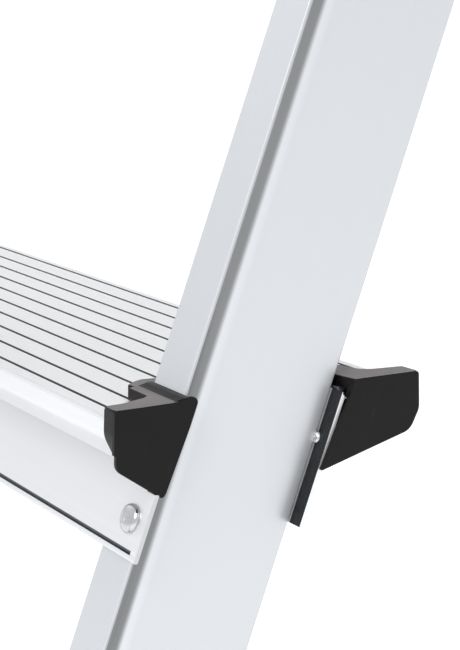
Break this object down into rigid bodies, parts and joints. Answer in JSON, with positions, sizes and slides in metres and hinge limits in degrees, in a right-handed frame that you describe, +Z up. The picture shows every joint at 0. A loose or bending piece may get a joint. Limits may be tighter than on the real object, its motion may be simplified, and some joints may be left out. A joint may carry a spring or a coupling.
{
  "type": "rolling warehouse ladder",
  "caption": "Rolling platform ladder with grooved treads, plastic tread end caps, guard rails, handrails, a lift-up safety bar and braked swivel castors.",
  "frame": {"origin": "on the floor, under the middle of the bounding box", "axes": "+Z up; +Y is the way the climber faces; +X is the right-hand side"},
  "size_m": [0.616, 1.228, 2.22],
  "materials": {
    "aluminium": "satin, lengthwise extrusion grain",
    "tread_aluminium": "satin, fine speckled tread surface",
    "black_plastic": "moulded, fine grain",
    "grey_rubber": "matt",
    "zinc_steel": "zinc plated",
    "red_plastic": "moulded, fine grain"
  },
  "bodies": {
    "frame": {"base_cross_bar": "aluminium", "base_rail_left": "aluminium", "base_rail_right": "aluminium", "cap_front_1_left": "black_plastic", "cap_front_1_right": "black_plastic", "cap_front_2_left": "black_plastic", "cap_front_2_right": "black_plastic", "cap_front_3_left": "black_plastic", "cap_front_3_right": "black_plastic", "cap_front_4_left": "black_plastic", "cap_front_4_right": "black_plastic", "cap_rear_1_left": "black_plastic", "cap_rear_1_right": "black_plastic", "cap_rear_2_left": "black_plastic", "cap_rear_2_right": "black_plastic", "cap_rear_3_left": "black_plastic", "cap_rear_3_right": "black_plastic", "cap_rear_4_left": "black_plastic", "cap_rear_4_right": "black_plastic", "guard_post_left": "aluminium", "guard_post_right": "aluminium", "handrail_left": "aluminium", "handrail_right": "aluminium", "knee_rail_left": "aluminium", "knee_rail_rear": "aluminium", "knee_rail_right": "aluminium", "platform_beam_left": "aluminium", "platform_beam_right": "aluminium", "platform_deck": "tread_aluminium", "rear_brace_a": "aluminium", "rear_brace_b": "aluminium", "rear_leg_left": "aluminium", "rear_leg_right": "aluminium", "stile_left": "aluminium", "stile_right": "aluminium", "toe_board": "aluminium", "top_rail_left": "aluminium", "top_rail_rear": "aluminium", "top_rail_right": "aluminium", "tread_1": "tread_aluminium", "tread_2": "tread_aluminium", "tread_3": "tread_aluminium", "tread_4": "tread_aluminium"},
    "castor_front_right": {"castor_fork_front_right": "zinc_steel"},
    "wheel_front_right": {"castor_hub_front_right": "black_plastic", "castor_tyre_front_right": "grey_rubber"},
    "pedal_front_right": {"brake_pedal_front_right": "red_plastic"},
    "castor_front_left": {"castor_fork_front_left": "zinc_steel"},
    "wheel_front_left": {"castor_hub_front_left": "black_plastic", "castor_tyre_front_left": "grey_rubber"},
    "pedal_front_left": {"brake_pedal_front_left": "red_plastic"},
    "castor_rear_right": {"castor_fork_rear_right": "zinc_steel"},
    "wheel_rear_right": {"castor_hub_rear_right": "black_plastic", "castor_tyre_rear_right": "grey_rubber"},
    "pedal_rear_right": {"brake_pedal_rear_right": "red_plastic"},
    "castor_rear_left": {"castor_fork_rear_left": "zinc_steel"},
    "wheel_rear_left": {"castor_hub_rear_left": "black_plastic", "castor_tyre_rear_left": "grey_rubber"},
    "pedal_rear_left": {"brake_pedal_rear_left": "red_plastic"},
    "safety_bar": {"safety_bar": "red_plastic"}
  },
  "joints": [
    {"name": "swivel_front_right", "type": "hinge", "parent": "frame", "child": "castor_front_right", "pos_m": [0.28, -0.49898, 0.15], "axis": [0, 0, 1], "continuous": true},
    {"name": "roll_front_right", "type": "hinge", "parent": "castor_front_right", "child": "wheel_front_right", "pos_m": [0.28, -0.46298, 0.06196], "axis": [1, 0, 0], "continuous": true},
    {"name": "brake_front_right", "type": "hinge", "parent": "castor_front_right", "child": "pedal_front_right", "pos_m": [0.28, -0.45498, 0.14], "axis": [1, 0, 0], "range_deg": [-12, 0]},
    {"name": "swivel_front_left", "type": "hinge", "parent": "frame", "child": "castor_front_left", "pos_m": [-0.28, -0.49898, 0.15], "axis": [0, 0, 1], "continuous": true},
    {"name": "roll_front_left", "type": "hinge", "parent": "castor_front_left", "child": "wheel_front_left", "pos_m": [-0.28, -0.46298, 0.06196], "axis": [1, 0, 0], "continuous": true},
    {"name": "brake_front_left", "type": "hinge", "parent": "castor_front_left", "child": "pedal_front_left", "pos_m": [-0.28, -0.45498, 0.14], "axis": [1, 0, 0], "range_deg": [-12, 0]},
    {"name": "swivel_rear_right", "type": "hinge", "parent": "frame", "child": "castor_rear_right", "pos_m": [0.28, 0.51602, 0.15], "axis": [0, 0, 1], "continuous": true},
    {"name": "roll_rear_right", "type": "hinge", "parent": "castor_rear_right", "child": "wheel_rear_right", "pos_m": [0.28, 0.55202, 0.06196], "axis": [1, 0, 0], "continuous": true},
    {"name": "brake_rear_right", "type": "hinge", "parent": "castor_rear_right", "child": "pedal_rear_right", "pos_m": [0.28, 0.56002, 0.14], "axis": [1, 0, 0], "range_deg": [-12, 0]},
    {"name": "swivel_rear_left", "type": "hinge", "parent": "frame", "child": "castor_rear_left", "pos_m": [-0.28, 0.51602, 0.15], "axis": [0, 0, 1], "continuous": true},
    {"name": "roll_rear_left", "type": "hinge", "parent": "castor_rear_left", "child": "wheel_rear_left", "pos_m": [-0.28, 0.55202, 0.06196], "axis": [1, 0, 0], "continuous": true},
    {"name": "brake_rear_left", "type": "hinge", "parent": "castor_rear_left", "child": "pedal_rear_left", "pos_m": [-0.28, 0.56002, 0.14], "axis": [1, 0, 0], "range_deg": [-12, 0]},
    {"name": "safety_bar_lift", "type": "hinge", "parent": "frame", "child": "safety_bar", "pos_m": [-0.232, 0.01602, 1.96], "axis": [0, -1, 0], "range_deg": [0, 88]}
  ]
}
